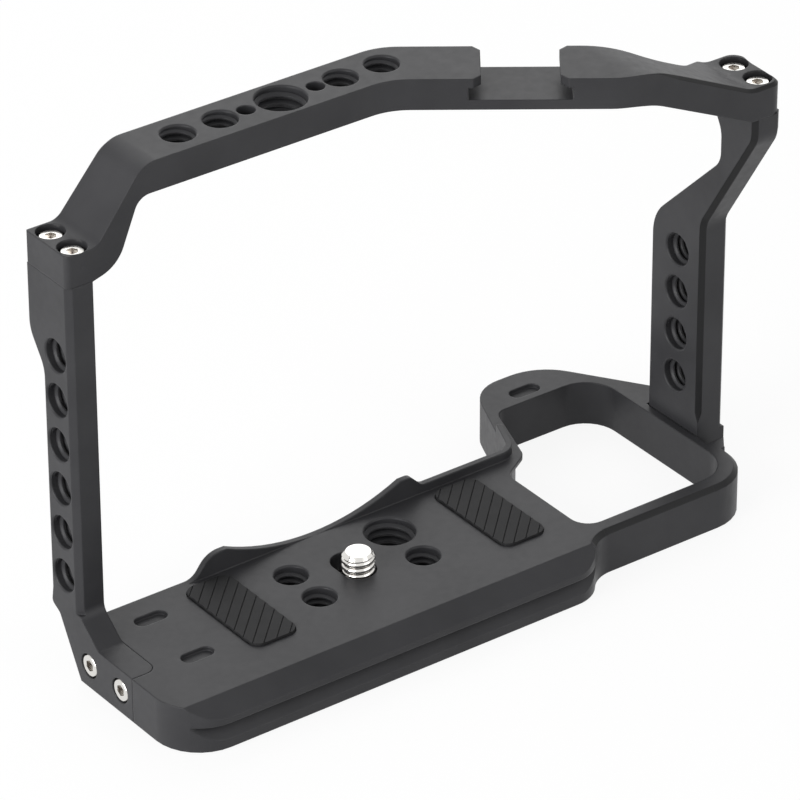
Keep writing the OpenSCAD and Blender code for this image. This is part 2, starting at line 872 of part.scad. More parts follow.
/* Camera screw */
module camera_screw() {
  top_z = plate_t + stud_h;
  root_z = plate_t;
  crest = thread_pitch / 2;
  turns = floor((top_z - root_z) / thread_pitch);
  color(steel)
    placed()
      translate([screw_x, screw_y, 0])
        difference() {
          union() {
            translate([0, 0, knob_sink])
              cylinder(d = knob_d, h = knob_h);
            cylinder(d = neck_d, h = under_h + over);
            translate([0, 0, under_h])
              cylinder(d = stud_core_d, h = top_z - under_h);
            // Crests of the thread
            for (i = [0:turns - 1])
              translate([0, 0, root_z + i * thread_pitch])
                rotate_extrude()
                  polygon([[0, 0], [stud_core_d / 2, 0], [small_d / 2, crest * 0.8],
                    [small_d / 2, crest * 1.2], [stud_core_d / 2, crest * 2], [0, crest * 2]]);
          }
          // Coin slot in the head
          translate([-knob_d, -coin_w / 2, -over])
            cube([2 * knob_d, coin_w, over + knob_sink + coin_h]);
          translate([0, 0, -over])
            cylinder(d = knob_d + over, h = over + knob_sink);
        }
}
coin_w = 1.8;
coin_h = 1.4;

module screw_washer() {
  color(steel)
    placed()
      translate([screw_x, screw_y, washer_z])
        difference() {
          cylinder(d = washer_d, h = washer_t);
          translate([0, 0, -over])
            cylinder(d = neck_d + 2 * fit, h = washer_t + 2 * over);
        }
}

base_plate();
left_upright();
right_upright();
top_bar();
left_top_screw_front();
left_top_screw_rear();
right_top_screw_front();
right_top_screw_rear();
left_foot_screw_front();
left_foot_screw_rear();
right_foot_screw_front();
right_foot_screw_rear();
camera_screw();
screw_washer();
left_pad();
right_pad();
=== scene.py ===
"""Looks of the camera cage: machined black parts, cut threads, pads, a steel screw and a studio.

Lengths in the dataclasses are millimetres and meshes are in metres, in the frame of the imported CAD.
"""
import logging
import math
from dataclasses import dataclass
from enum import Enum

import bmesh
import bpy
import numpy as np
from mathutils import Matrix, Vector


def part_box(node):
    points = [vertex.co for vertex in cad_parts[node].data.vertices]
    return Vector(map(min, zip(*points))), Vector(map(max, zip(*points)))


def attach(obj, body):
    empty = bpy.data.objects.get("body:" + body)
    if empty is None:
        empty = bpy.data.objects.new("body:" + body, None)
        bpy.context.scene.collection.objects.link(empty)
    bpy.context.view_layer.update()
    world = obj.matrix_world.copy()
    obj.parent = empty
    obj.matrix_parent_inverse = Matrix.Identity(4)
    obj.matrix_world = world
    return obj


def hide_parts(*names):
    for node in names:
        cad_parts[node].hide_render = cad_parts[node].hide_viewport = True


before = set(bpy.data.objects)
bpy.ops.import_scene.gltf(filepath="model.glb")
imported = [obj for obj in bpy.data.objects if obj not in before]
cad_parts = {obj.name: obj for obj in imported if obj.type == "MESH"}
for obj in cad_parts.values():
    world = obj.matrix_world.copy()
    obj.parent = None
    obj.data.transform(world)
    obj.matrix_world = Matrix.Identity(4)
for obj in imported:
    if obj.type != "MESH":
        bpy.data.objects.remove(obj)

LOG = logging.getLogger("camera_cage")
BODY = "frame"
MM = 0.001
WHITE = (1.0, 1.0, 1.0, 1.0)
# face attribute marking the chamfer faces that are painted darker, a painted shade
PAINTED_CHAMFER_SHADE = "painted_chamfer_shade"
LEAST = 1e-30  # keeps a division from meeting zero
NOISE_LOW, NOISE_HIGH = 0.3, 0.7  # most of a noise's values lie between these
WAVE_BANDS = 20  # bands of the wave texture within a length of 1 / Scale

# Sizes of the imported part; places are from its left end face, the slab's rear and the underside
CAGE_W, CAGE_D, CAGE_H = 139.1, 61.0, 100.4
PLATE_T, BAR_T = 9.2, 6.1
LEFT_T, RIGHT_T = 5.3, 6.5
HEAD_REAR_Y, BLOCK_TOP_Z = 7.8, 89.1


class Axis(Enum):
    """The axis of a bore."""

    X = "x"
    Z = "z"


class Slot(Enum):
    """The record's material slots."""

    METAL = "black_aluminium"
    STEEL = "steel"
    RUBBER = "rubber"


def at(points: np.ndarray) -> np.ndarray:
    """Turn an array (..., 3) of millimetres from the cage's corner into the frame's metres."""
    return (np.asarray(points, float) - np.array([CAGE_W / 2, CAGE_D / 2, 0.0])) * MM


def link(made: bpy.types.Object) -> bpy.types.Object:
    """Link an object to the scene and give it back."""
    bpy.context.scene.collection.objects.link(made)
    return made


def dress(mesh: bpy.types.Mesh, finish: bpy.types.Material) -> None:
    """Give a mesh one material and no other."""
    mesh.materials.clear()
    mesh.materials.append(finish)


def read(items: bpy.types.bpy_prop_collection, name: str, kind: type = np.int32,
         width: int = 1) -> np.ndarray:
    """Read a property of a mesh's vertices, corners or faces.

    Args:
        items: the vertices, corners or faces.
        name: name of the property.
        kind: type of its numbers.
        width: how many numbers each item has.

    Returns:
        Array (n), or (n, width) where width is more than 1.
    """
    values = np.empty(len(items) * width, kind)
    items.foreach_get(name, values)
    return values.reshape(-1, width) if width > 1 else values


def stand(right: np.ndarray, up: np.ndarray, back: np.ndarray, place: np.ndarray) -> Matrix:
    """Give the matrix that stands a camera or a light at a place.

    Args:
        right: unit direction of its local X.
        up: unit direction of its local Y.
        back: unit direction of its local Z, away from what it looks at.
        place: where it stands, in metres.

    Returns:
        The world matrix.
    """
    rows = np.vstack([np.column_stack([right, up, back, place]), [0, 0, 0, 1]])
    return Matrix(rows.tolist())


# ---------------------------------------------------------------- materials


def linear(code: str) -> tuple[float, float, float, float]:
    """Turn an sRGB hex colour into linear RGBA.

    Args:
        code: colour such as "#303032".

    Returns:
        Red, green, blue and alpha, linear.
    """
    srgb = [int(code[i:i + 2], 16) / 255 for i in (1, 3, 5)]
    rgb = [c / 12.92 if c <= 0.04045 else ((c + 0.055) / 1.055) ** 2.4 for c in srgb]
    return rgb[0], rgb[1], rgb[2], 1.0


def set_node(tree: bpy.types.NodeTree, node: bpy.types.Node, **values: object) -> bpy.types.Node:
    """Set a node's properties and inputs, and link the inputs given as sockets.

    Args:
        tree: the node's tree.
        node: the node.
        values: property names, or identifiers of inputs with spaces written as underscores.

    Returns:
        The node.
    """
    inputs = {s.identifier.replace(" ", "_"): s for s in node.inputs}
    for name, value in values.items():
        if name not in inputs:
            setattr(node, name, value)
        elif isinstance(value, bpy.types.NodeSocket):
            tree.links.new(value, inputs[name])
        else:
            inputs[name].default_value = value
    return node


def add_node(tree: bpy.types.NodeTree, kind: str, **values: object) -> bpy.types.Node:
    """Add a node of Blender's type kind, with its properties, inputs and links."""
    return set_node(tree, tree.nodes.new(kind), **values)


@dataclass(frozen=True)
class Finish:
    """A surface treatment; subclasses fill the shader."""

    name: str
    colour: str
    roughness: float

    def build(self) -> bpy.types.Material:
        """Make the material.

        Returns:
            A node material with a Principled shader.
        """
        material = bpy.data.materials.new(self.name)
        material.use_nodes = True
        tree = material.node_tree
        tree.nodes.clear()
        shader = add_node(tree, "ShaderNodeBsdfPrincipled", Base_Color=linear(self.colour),
                          Roughness=self.roughness)
        last = self.detail(tree, shader)
        add_node(tree, "ShaderNodeOutputMaterial", Surface=last.outputs[0])
        LOG.info("finish %s", self.name)
        return material

    def detail(self, tree: bpy.types.NodeTree, shader: bpy.types.Node) -> bpy.types.Node:
        """Add the finish's own nodes to the Principled node and give the last one."""
        return shader

    def place(self, tree: bpy.types.NodeTree) -> bpy.types.NodeSocket:
        """Give the object coordinates, in metres."""
        return add_node(tree, "ShaderNodeTexCoord").outputs["Object"]

    def noise(self, tree: bpy.types.NodeTree, size: float,
              detail: float = 2.0) -> bpy.types.NodeSocket:
        """Give a noise whose blobs have a real size.

        Args:
            tree: the material's node tree.
            size: blob size in millimetres.
            detail: number of finer layers.

        Returns:
            The noise's factor, about 0.5 on average.
        """
        return add_node(tree, "ShaderNodeTexNoise", Vector=self.place(tree), Scale=1 / (size * MM),
                        Detail=detail).outputs[0]

    def span(self, tree: bpy.types.NodeTree, factor: bpy.types.NodeSocket, low: float,
             high: float) -> bpy.types.NodeSocket:
        """Spread a factor so that NOISE_LOW comes out as low and NOISE_HIGH as high."""
        return add_node(tree, "ShaderNodeMapRange", Value=factor, From_Min=NOISE_LOW,
                        From_Max=NOISE_HIGH, To_Min=low, To_Max=high).outputs[0]


@dataclass(frozen=True)
class BlackAnodised(Finish):
    """Aluminium milled, blasted with fine beads and anodised black.

    The beads leave dents, drawn at bead_mm so that they show, though real ones are finer. The
    dye bath leaves slow changes of tone and gloss, and a deburring brush breaks each edge to
    about edge_mm. Chamfer faces are painted darker as painted shade, for how the light falls on
    their slant; a face attribute marks them.
    """

    bead_mm: float = 0.16
    bead_layers: float = 1.5
    dent_mm: float = 0.006
    dent_strength: float = 0.7
    cloud_mm: float = 14.0
    cloud_layers: float = 3.0
    gloss_mm: float = 14.0 / 9
    smoother: float = 0.03
    rougher: float = 0.04
    edge_mm: float = 0.4
    edge_samples: int = 8
    sheen: float = 0.22
    pale: str = "#363638"
    # painted shade: colour of the chamfer faces, darker for how light falls on their slant
    chamfer_shade_colour: str = "#171718"

    def detail(self, tree: bpy.types.NodeTree, shader: bpy.types.Node) -> bpy.types.Node:
        """Add bead dents, slow changes of tone and gloss, broken edges and painted shade on chamfers.

        Args:
            tree: the material's node tree.
            shader: its Principled node.

        Returns:
            The last node.
        """
        clouds = self.span(tree, self.noise(tree, self.cloud_mm, self.cloud_layers), 0.0, 1.0)
        dyed = add_node(tree, "ShaderNodeMixRGB", Fac=clouds, Color1=linear(self.colour),
                        Color2=linear(self.pale))
        # painted shade: chamfer faces marked by the attribute take a darker colour
        painted_chamfer_shade = add_node(tree, "ShaderNodeAttribute", attribute_name=PAINTED_CHAMFER_SHADE)
        tone = add_node(tree, "ShaderNodeMixRGB", Fac=painted_chamfer_shade.outputs["Fac"],
                        Color1=dyed.outputs[0], Color2=linear(self.chamfer_shade_colour))
        dents = self.noise(tree, self.bead_mm, self.bead_layers)
        gloss = self.span(tree, self.noise(tree, self.gloss_mm), self.roughness - self.smoother,
                          self.roughness + self.rougher)
        edges = add_node(tree, "ShaderNodeBevel", samples=self.edge_samples,
                         Radius=self.edge_mm * MM)
        bump = add_node(tree, "ShaderNodeBump", Height=dents, Distance=self.dent_mm * MM,
                        Strength=self.dent_strength, Normal=edges.outputs[0])
        return set_node(tree, shader, Base_Color=tone.outputs[0], Roughness=gloss,
                        Normal=bump.outputs[0], Specular_IOR_Level=self.sheen)


@dataclass(frozen=True)
class TurnedSteel(Finish):
    """Stainless steel turned on a lathe, with fine rings about the vertical axis.

    Within shade reach of other steel, found by ambient occlusion, as in thread roots and sockets,
    the colour is painted darker and browner: painted shade.
    """

    ring_mm: float = 0.09
    ring_depth_mm: float = 0.0008
    ring_strength: float = 0.5
    ring_wobble: float = 1.2
    gloss_mm: float = 2.0
    smoother: float = 0.02
    rougher: float = 0.03
    # reach, samples and brown colour of the painted shade in hollows
    shade_reach_mm: float = 1.2
    shade_samples: int = 8
    painted_shade_colour: str = "#5f524b"

    def detail(self, tree: bpy.types.NodeTree, shader: bpy.types.Node) -> bpy.types.Node:
        """Make it a metal with turning rings, small changes of gloss and painted shade in hollows.

        Args:
            tree: the material's node tree.
            shader: its Principled node.

        Returns:
            The last node.
        """
        # painted shade: ambient occlusion darkens and browns the colour in hollows
        painted_hollow_shade = add_node(tree, "ShaderNodeAmbientOcclusion", samples=self.shade_samples,
                          Distance=self.shade_reach_mm * MM)
        tone = add_node(tree, "ShaderNodeMixRGB", Color1=linear(self.painted_shade_colour),
                        Color2=linear(self.colour),
                        Fac=self.span(tree, painted_hollow_shade.outputs["AO"], 0.0, 1.0))
        wave = add_node(tree, "ShaderNodeTexWave", wave_type="BANDS", bands_direction="Z",
                        Vector=self.place(tree), Scale=1 / (self.ring_mm * MM) / WAVE_BANDS,
                        Distortion=self.ring_wobble)
        gloss = self.span(tree, self.noise(tree, self.gloss_mm), self.roughness - self.smoother,
                          self.roughness + self.rougher)
        bump = add_node(tree, "ShaderNodeBump", Height=wave.outputs["Fac"],
                        Distance=self.ring_depth_mm * MM, Strength=self.ring_strength)
        return set_node(tree, shader, Base_Color=tone.outputs[0], Roughness=gloss,
                        Normal=bump.outputs[0], Metallic=1.0)


@dataclass(frozen=True)
class MouldedRubber(Finish):
    """Black rubber sheet moulded with a fine grain, with a little dust in it."""

    grain_mm: float = 0.35
    grain_layers: float = 3.0
    grain_depth_mm: float = 0.02
    grain_strength: float = 0.6
    dust_mm: float = 3.0
    dust_layers: float = 4.0
    dusty: str = "#262627"
    sheen: float = 0.2

    def detail(self, tree: bpy.types.NodeTree, shader: bpy.types.Node) -> bpy.types.Node:
        """Add the grain of the mould and a paler dust.

        Args:
            tree: the material's node tree.
            shader: its Principled node.

        Returns:
            The last node.
        """
        tone = add_node(tree, "ShaderNodeMixRGB", Color1=linear(self.colour),
                        Color2=linear(self.dusty),
                        Fac=self.noise(tree, self.dust_mm, self.dust_layers))
        bump = add_node(tree, "ShaderNodeBump", Distance=self.grain_depth_mm * MM,
                        Strength=self.grain_strength,
                        Height=self.noise(tree, self.grain_mm, self.grain_layers))
        return set_node(tree, shader, Base_Color=tone.outputs[0], Normal=bump.outputs[0],
                        Specular_IOR_Level=self.sheen)


def seen_rays(tree: bpy.types.NodeTree) -> bpy.types.NodeSocket:
    """Tell the rays that show the surroundings from those that light the object.

    Args:
        tree: node tree that takes the nodes.

    Returns:
        1 for camera, glossy and transmission rays, else 0.
    """
    path = add_node(tree, "ShaderNodeLightPath")
    one = add_node(tree, "ShaderNodeMath", operation="MAXIMUM",
                   Value=path.outputs["Is Camera Ray"], Value_001=path.outputs["Is Glossy Ray"])
    return add_node(tree, "ShaderNodeMath", operation="MAXIMUM", Value=one.outputs[0],
                    Value_001=path.outputs["Is Transmission Ray"]).outputs[0]


@dataclass(frozen=True)
class StudioFloor(Finish):
    """White sweep that is seen nearly white, with a faint shadow of the object."""

    white_share: float = 0.85
    white_strength: float = 1.05

    def detail(self, tree: bpy.types.NodeTree, shader: bpy.types.Node) -> bpy.types.Node:
        """Let the rays that see the floor see white, and keep a share of its shading.

        Args:
            tree: the material's node tree.
            shader: its Principled node.

        Returns:
            The last node.
        """
        glow = add_node(tree, "ShaderNodeEmission", Color=WHITE, Strength=self.white_strength)
        share = add_node(tree, "ShaderNodeMath", operation="MULTIPLY", Value=seen_rays(tree),
                         Value_001=self.white_share)
        return add_node(tree, "ShaderNodeMixShader", Fac=share.outputs[0],
                        Shader=shader.outputs[0], Shader_001=glow.outputs[0])


# ---------------------------------------------------------------- meshes


def volume(points: np.ndarray, faces: list[list[int]]) -> float:
    """Work out the signed volume that faces close, by the divergence theorem.

    Args:
        points: array (n, 3).
        faces: vertex numbers of each face.

    Returns:
        The volume, positive where the faces point outwards.
    """
    tri = np.array([(f[0], f[i], f[i + 1]) for f in faces for i in range(1, len(f) - 1)])
    a, b, c = points[tri[:, 0]], points[tri[:, 1]], points[tri[:, 2]]
    return float((a * np.cross(b, c)).sum() / 6)


def ring_faces(rows: int, columns: int) -> list[list[int]]:
    """Give the faces of a grid whose rows close on themselves, with a cap at each end.

    Args:
        rows: number of rings.
        columns: points in each ring.

    Returns:
        Quads between the rings and the two end caps.
    """
    i, j = np.meshgrid(np.arange(rows - 1), np.arange(columns), indexing="ij")
    k = (j + 1) % columns
    quads = np.stack([i * columns + j, i * columns + k, (i + 1) * columns + k,
                      (i + 1) * columns + j], -1).reshape(-1, 4)
    last = (rows - 1) * columns
    caps = [list(range(columns - 1, -1, -1)), list(range(last, last + columns))]
    return quads.tolist() + caps


def make_object(name: str, points: np.ndarray, faces: list[list[int]],
                material: bpy.types.Material, smooth_deg: float = 35.0) -> bpy.types.Object:
    """Make a mesh object at the origin.

    Args:
        name: name of the object.
        points: array (n, 3) in metres.
        faces: vertex numbers of each face.
        material: its material.
        smooth_deg: edges sharper than this stay crisp.

    Returns:
        The object, linked to the scene.
    """
    mesh = bpy.data.meshes.new(name)
    mesh.from_pydata(points.tolist(), [], faces)
    mesh.materials.append(material)
    mesh.shade_smooth()
    mesh.set_sharp_from_angle(angle=math.radians(smooth_deg))
    LOG.info("%s: %d vertices", name, len(points))
    return link(bpy.data.objects.new(name, mesh))


def outward(points: np.ndarray, faces: list[list[int]]) -> list[list[int]]:
    """Give closed faces so that they point outwards, turned over if their volume is negative."""
    return faces if volume(points, faces) > 0 else [f[::-1] for f in faces]


def ride(piece: bpy.types.Object, body: str, slot: Slot, *nodes: str) -> bpy.types.Object:
    """Let a piece ride on a body and stand for nodes.

    Args:
        piece: the piece.
        body: name of its CAD body.
        slot: its material slot; not used.
        nodes: CAD nodes that it stands for.

    Returns:
        The piece.
    """
    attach(piece, body)
    if nodes:
        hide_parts(*nodes)
    return piece


# ---------------------------------------------------------------- chamfers


def bend(points: list[list[float]], radii: list[float], steps: int = 8) -> np.ndarray:
    """Round the inner corners of an open line with arcs that touch both legs.

    Args:
        points: the line's corners.
        radii: one radius for each inner corner.
        steps: parts of each arc.

    Returns:
        The rounded line.
    """
    corner = np.array(points, float)
    parts = [corner[:1]]
    for i, radius in enumerate(radii, 1):
        u, v = corner[i - 1] - corner[i], corner[i + 1] - corner[i]
        u, v = u / np.linalg.norm(u), v / np.linalg.norm(v)
        half = math.acos(float(np.clip(u @ v, -1, 1))) / 2
        middle = corner[i] + (u + v) / np.linalg.norm(u + v) * radius / math.sin(half)
        touch = radius / math.tan(half)
        start, end = corner[i] + u * touch - middle, corner[i] + v * touch - middle
        turn = math.pi - 2 * half
        share = np.linspace(0, 1, steps + 1)[:, None]
        parts.append(middle + (np.sin((1 - share) * turn) * start
                               + np.sin(share * turn) * end) / math.sin(turn))
    return np.vstack([*parts, corner[-1:]])


@dataclass
class EdgeChamfer:
    """A chamfer along an edge, given as arrays: places, faces' directions and widths.

    The faces beside the edge look along one and two. The cutter is a rod with three sides: each
    ring has a corner beyond the edge and one beyond each face, so that its long side lies in
    the chamfer.
    """

    line: np.ndarray
    one: np.ndarray
    two: np.ndarray
    width: np.ndarray
    beyond: float = 0.8

    def rod(self) -> bpy.types.Object:
        """Make the cutter.

        Returns:
            The rod, linked to the scene.
        """
        out, cut = self.beyond, (self.width + self.beyond)[:, None]
        rings = np.stack([self.line + self.one * out - self.two * cut,
                          self.line + self.two * out - self.one * cut,
                          self.line + (self.one + self.two) * out], 1)
        points = at(rings.reshape(-1, 3))
        mesh = bpy.data.meshes.new("chamfer_rod")
        mesh.from_pydata(points.tolist(), [], outward(points, ring_faces(len(self.line), 3)))
        return link(bpy.data.objects.new("chamfer_rod", mesh))


@dataclass(frozen=True)
class UprightChamfer:
    """A chamfer on a rear edge of the right upright, from height low to height top.

    The edge runs up the strip, slants to the rear and runs up the head, beside the face at
    face_x, which looks along X times side. The width grows over the first grow millimetres.
    """

    face_x: float
    side: int
    low: float
    top: float
    width: float
    thin: float = 0.02
    grow: float = 2.0
    strip_y: float = 21.8
    slant_low: float = 54.9
    slant_top: float = 78.2
    bend_r: float = 5.64

    def edge(self) -> EdgeChamfer:
        """Work out the edge.

        Returns:
            The chamfer with its line, directions and widths.
        """
        line = bend([[self.strip_y, self.low], [self.strip_y, self.slant_low],
                     [HEAD_REAR_Y, self.slant_top], [HEAD_REAR_Y, self.top]],
                    [self.bend_r, self.bend_r])
        line = np.vstack([line[:1], [[self.strip_y, self.low + self.grow]], line[1:]])
        way = np.gradient(line, axis=0)
        way = way / np.linalg.norm(way, axis=1, keepdims=True)
        none = np.zeros(len(line))
        share = np.clip((line[:, 1] - self.low) / self.grow, 0, 1)
        return EdgeChamfer(np.column_stack([none + self.face_x, line]),
                           np.column_stack([none + self.side, none, none]),
                           np.column_stack([none, -way[:, 1], way[:, 0]]),
                           self.thin + (self.width - self.thin) * share)


@dataclass(frozen=True)
class BarChamfer:
    """The chamfer on the top bar's upper rear edge, down the slope and round the right block.

    Over the slope the height follows the bar's bent outline, from crest to foot; the block's
    corner is a quarter circle. The width grows where the slope begins and dies out before the
    block's front corner.
    """

    width: float = 0.6
    worn_width: float = 0.45
    thin: float = 0.02
    deck_x: float = 100.0
    crest_x: float = 108.6
    crest_r: float = 18.3
    foot_x: float = 132.05
    foot_r: float = 6.1
    corner_r: float = 2.5
    start_x: float = 109.0
    grow: float = 6.0
    worn_y: float = 17.0
    end_y: float = 19.1
    slope_steps: int = 70
    corner_steps: int = 10
    side_steps: int = 8

    def edge(self) -> EdgeChamfer:
        """Work out the edge.

        Returns:
            The chamfer with its line, directions and widths.
        """
        corner_x, corner_y = CAGE_W - self.corner_r, HEAD_REAR_Y + self.corner_r
        outline = bend([[self.deck_x, CAGE_H], [self.crest_x, CAGE_H],
                        [self.foot_x, BLOCK_TOP_Z], [corner_x, BLOCK_TOP_Z]],
                       [self.crest_r, self.foot_r])
        x = np.linspace(self.start_x, corner_x, self.slope_steps)
        z = np.interp(x, outline[:, 0], outline[:, 1])
        tilt = np.column_stack([-np.gradient(z, x), 0 * x, 0 * x + 1])
        turn = np.linspace(0, math.pi / 2, self.corner_steps)[1:]
        round_way = np.column_stack([np.sin(turn), -np.cos(turn), 0 * turn])
        y = np.linspace(corner_y, self.end_y, self.side_steps)[1:]
        line = np.vstack([
            np.column_stack([x, 0 * x + HEAD_REAR_Y, z]),
            np.array([corner_x, corner_y, BLOCK_TOP_Z]) + self.corner_r * round_way,
            np.column_stack([0 * y + CAGE_W, y, 0 * y + BLOCK_TOP_Z])])
        one = np.vstack([np.tile([0.0, -1.0, 0.0], (len(x), 1)), round_way,
                         np.tile([1.0, 0.0, 0.0], (len(y), 1))])
        two = np.vstack([tilt / np.linalg.norm(tilt, axis=1, keepdims=True),
                         np.tile([0.0, 0.0, 1.0], (len(turn) + len(y), 1))])
        share = np.clip((x - self.start_x) / self.grow, 0, 1)
        width = np.concatenate([
            self.thin + (self.width - self.thin) * share,
            0 * turn + self.width,
            np.interp(y, [corner_y, self.worn_y, self.end_y],
                      [self.width, self.worn_width, self.thin])])
        return EdgeChamfer(line, one, two, width)


# ---------------------------------------------------------------- machined parts


def weld(mesh: bpy.types.Mesh, near: float = 2e-6, tiny: float = 1e-6) -> int:
    """Merge the doubled vertices of a mesh and take out what has no size.

    Args:
        mesh: the mesh.
        near: distance in metres within which vertices merge.
        tiny: length in metres under which an edge goes.

    Returns:
        The number of edges that don't join two faces.
    """
    work = bmesh.new()
    work.from_mesh(mesh)
    bmesh.ops.remove_doubles(work, verts=work.verts, dist=near)
    bmesh.ops.dissolve_degenerate(work, edges=work.edges, dist=tiny)
    loose = sum(not edge.is_manifold for edge in work.edges)
    work.to_mesh(mesh)
    work.free()
    return loose


@dataclass
class MachinedPart:
    """A machined CAD node, merged so that its bends shade round and its faces stay flat.

    A rim chamfer, which takes the painted shade, is where x is over rim_from, y under rim_to, and
    the normal's z within rim_tilt of that of 45 degrees. Faces that turn less than same_plane_deg
    belong to one flat region, and those that turn less than round_deg shade into each other.
    """

    node: str
    finish: bpy.types.Material
    chamfers: tuple[EdgeChamfer, ...] = ()
    rim_from: float = math.inf
    rim_to: float = 30.0
    rim_tilt: float = 0.03
    same_plane_deg: float = 0.6
    round_deg: float = 32.0

    def merged(self) -> bpy.types.Mesh:
        """Copy the node's mesh with its loose triangles merged.

        Returns:
            The new mesh, with its finish.
        """
        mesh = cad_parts[self.node].data.copy()
        mesh.name = self.node + "_machined"
        weld(mesh)
        dress(mesh, self.finish)
        mesh.shade_smooth()
        return mesh

    def mark(self, mesh: bpy.types.Mesh, painted_chamfer_shade: np.ndarray) -> None:
        """Write which faces take the painted chamfer shade into the attribute that the finish reads.

        Args:
            mesh: the mesh.
            painted_chamfer_shade: one truth value for each face, true where the painted shade goes.
        """
        LOG.info("%s has %d milled faces", self.node, painted_chamfer_shade.sum())
        mesh.attributes.new(PAINTED_CHAMFER_SHADE, "FLOAT", "FACE").data.foreach_set(
            "value", painted_chamfer_shade.astype(np.float32))

    def rim(self, mesh: bpy.types.Mesh) -> np.ndarray:
        """Find the faces of the rim chamfer, which take the painted shade, by their normal and place.

        Args:
            mesh: the merged mesh.

        Returns:
            One truth value for each face.
        """
        normal, middle = (read(mesh.polygons, n, np.float32, 3) for n in ("normal", "center"))
        x, y = middle[:, 0] / MM + CAGE_W / 2, middle[:, 1] / MM + CAGE_D / 2
        half_up = np.abs(normal[:, 2] - math.sqrt(0.5)) < self.rim_tilt
        return half_up & (x > self.rim_from) & (y < self.rim_to)

    def chamfered(self, mesh: bpy.types.Mesh) -> bpy.types.Mesh:
        """Cut the chamfers off the mesh and mark the faces that they leave for the painted shade.

        The rods carry a material of their own, which tells their faces from the others.

        Args:
            mesh: the merged mesh.

        Returns:
            The cut mesh.
        """
        blank = link(bpy.data.objects.new(self.node + "_blank", mesh))
        tag = bpy.data.materials.new("painted_chamfer_shade_tag")
        rods = [chamfer.rod() for chamfer in self.chamfers]
        for rod in rods:
            rod.data.materials.append(tag)
            step = blank.modifiers.new("chamfer", "BOOLEAN")
            step.operation, step.solver, step.object = "DIFFERENCE", "EXACT", rod
            step.material_mode = "TRANSFER"
        graph = bpy.context.evaluated_depsgraph_get()
        cut = bpy.data.meshes.new_from_object(blank.evaluated_get(graph))
        for item in (blank, *rods):
            bpy.data.objects.remove(item)
        loose = weld(cut)
        LOG.info("%s has %d open edges after its chamfers", self.node, loose)
        index = read(cut.polygons, "material_index")
        self.mark(cut, index == list(cut.materials).index(tag))
        cut.polygons.foreach_set("material_index", 0 * index)
        dress(cut, self.finish)
        bpy.data.materials.remove(tag)
        cut.name = self.node + "_machined"
        return cut

    def flat_areas(self, face: np.ndarray, edge: np.ndarray, normal: np.ndarray,
                   area: np.ndarray) -> np.ndarray:
        """Give each face the area of the flat region it belongs to.

        Faces that share an edge and a plane take the lower of their two labels until no label
        changes, and the areas are summed by label.

        Args:
            face: the face of each corner.
            edge: the edge of each corner.
            normal: array (n, 3) of face normals.
            area: the face areas.

        Returns:
            The area of each face's region.
        """
        order = np.argsort(edge, kind="stable")
        pair = np.flatnonzero(edge[order][1:] == edge[order][:-1])
        a, b = face[order[pair]], face[order[pair + 1]]
        flat = (normal[a] * normal[b]).sum(1) > math.cos(math.radians(self.same_plane_deg))
        a, b, label = a[flat], b[flat], np.arange(len(area))
        changed = True
        while changed:
            low = np.minimum(label[a], label[b])
            before = label.copy()
            np.minimum.at(label, a, low)
            np.minimum.at(label, b, low)
            changed = bool((label != before).any())
        return np.bincount(label, area, len(area))[label]

    def set_normals(self, mesh: bpy.types.Mesh) -> None:
        """Set the corner normals.

        A corner's normal is the sum of the normals of the faces round its vertex that turn less
        than round_deg from its own face, each times its angle at the vertex and the square of
        its flat region's area. So a wide face wins over the bend beside it, and the facets of a
        bend share their normals.

        Args:
            mesh: the merged mesh.
        """
        vertex, edge = (read(mesh.loops, n) for n in ("vertex_index", "edge_index"))
        count = read(mesh.polygons, "loop_total")
        normal = read(mesh.polygons, "normal", np.float32, 3).astype(float)
        area = read(mesh.polygons, "area", np.float32).astype(float)
        place = read(mesh.vertices, "co", np.float32, 3).astype(float)
        corners = len(vertex)
        face = np.repeat(np.arange(len(count)), count)
        first = np.repeat(np.cumsum(count) - count, count)
        turn = np.arange(corners) - first
        total = count[face]
        after = vertex[first + (turn + 1) % total]
        before = vertex[first + (turn - 1) % total]
        one, two = place[after] - place[vertex], place[before] - place[vertex]
        lengths = np.maximum(np.linalg.norm(one, axis=1) * np.linalg.norm(two, axis=1), LEAST)
        angle = np.arccos(np.clip((one * two).sum(1) / lengths, -1, 1))
        region = self.flat_areas(face, edge, normal, area)[face] / MM ** 2
        weight = angle * region ** 2
        order = np.argsort(vertex, kind="stable")
        share = np.bincount(vertex)
        begin = np.cumsum(share) - share
        times = share[vertex]
        mine = np.repeat(np.arange(corners), times)
        step = np.arange(len(mine)) - np.repeat(np.cumsum(times) - times, times)
        other = order[begin[vertex[mine]] + step]
        near = (normal[face[mine]] * normal[face[other]]).sum(1) > math.cos(
            math.radians(self.round_deg))
        part = normal[face[other]] * (weight[other] * near)[:, None]
        total_normal = np.stack([np.bincount(mine, part[:, k], corners) for k in range(3)], 1)
        size = np.linalg.norm(total_normal, axis=1, keepdims=True)
        total_normal = np.where(size > 0, total_normal / np.maximum(size, LEAST), normal[face])
        mesh.normals_split_custom_set(total_normal.tolist())

    def build(self) -> bpy.types.Object:
        """Make the piece and let it stand for its node.

        Returns:
            The piece.
        """
        mesh = self.merged()
        if self.chamfers:
            mesh = self.chamfered(mesh)
        else:
            self.mark(mesh, self.rim(mesh))
        self.set_normals(mesh)
        piece = link(bpy.data.objects.new(self.node + "_machined", mesh))
        LOG.info("%s: %d faces", piece.name, len(mesh.polygons))
        return ride(piece, BODY, Slot.METAL, self.node)


